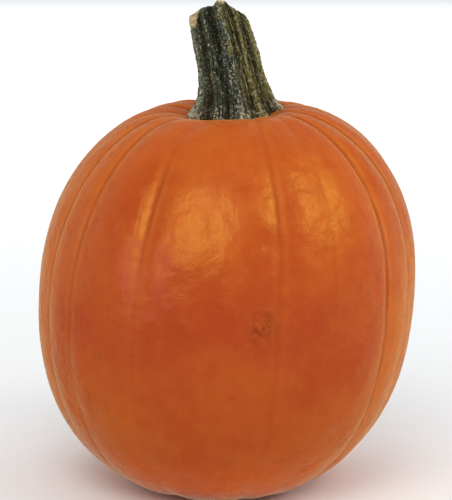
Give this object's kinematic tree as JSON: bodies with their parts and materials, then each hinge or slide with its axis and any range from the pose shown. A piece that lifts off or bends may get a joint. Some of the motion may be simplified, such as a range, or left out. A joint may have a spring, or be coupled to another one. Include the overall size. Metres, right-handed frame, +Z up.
{
  "type": "pumpkin",
  "caption": "Ripe orange field pumpkin, a little taller than round, with shallow ribs, a hollow crown and a stout cut green stem.",
  "frame": {"origin": "on the ground, under the middle of the fruit's widest section", "axes": "+Z up along the fruit, from the blossom end to the stem; -Y is the front and +X is to its right"},
  "size_m": [0.2398, 0.2413, 0.3087],
  "materials": {
    "rind": "waxy satin orange rind",
    "stem": "dry matt corky dark green stem"
  },
  "bodies": {
    "root": {"fruit": "rind", "stem": "stem"}
  },
  "joints": []
}
